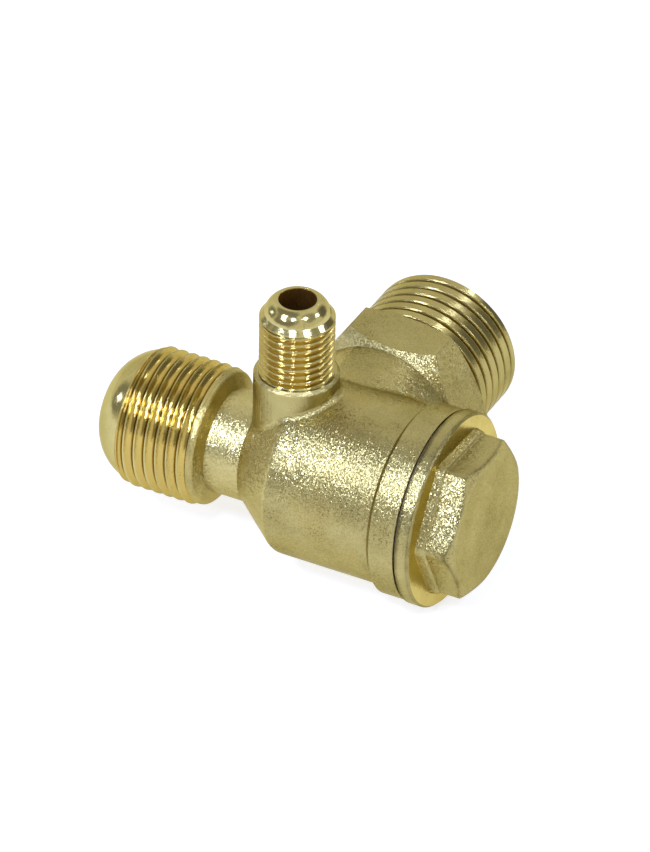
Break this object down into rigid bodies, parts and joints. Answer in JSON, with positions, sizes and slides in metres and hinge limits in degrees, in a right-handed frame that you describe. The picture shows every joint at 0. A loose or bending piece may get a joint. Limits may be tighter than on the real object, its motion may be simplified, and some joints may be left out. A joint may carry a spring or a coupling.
{
  "type": "non-return valve",
  "caption": "Brass check valve for a compressor tank: threaded inlet, unloader port, hex-collared tank thread and a screwed hex cap over a sprung poppet.",
  "frame": {"origin": "on the tank port's axis, at the shoulder of the hexagon collar where the tank thread starts", "axes": "+X along the main bore from the inlet nose to the cap, +Y along the tank port out of the valve, +Z along the unloader port out of the valve"},
  "size_m": [0.0545, 0.0473, 0.039],
  "materials": {
    "forged_brass": "blasted forging with bright machined ports",
    "cap_brass": "drawn hexagon, machined",
    "gasket": "dark fibre sheet",
    "turned_brass": "turned",
    "seal_rubber": "moulded",
    "spring_steel": "drawn wire"
  },
  "bodies": {
    "valve": {"valve_body": "forged_brass", "cap": "cap_brass", "cap_gasket": "gasket", "spring": "spring_steel"},
    "poppet": {"poppet": "turned_brass", "seat_disc": "seal_rubber"}
  },
  "joints": [
    {"name": "poppet_lift", "type": "slide", "parent": "valve", "child": "poppet", "axis": [1, 0, 0], "range_m": [0, 0.004], "stiffness_N_per_m": 300, "springref_m": -0.0027, "deforming": ["spring"]}
  ]
}
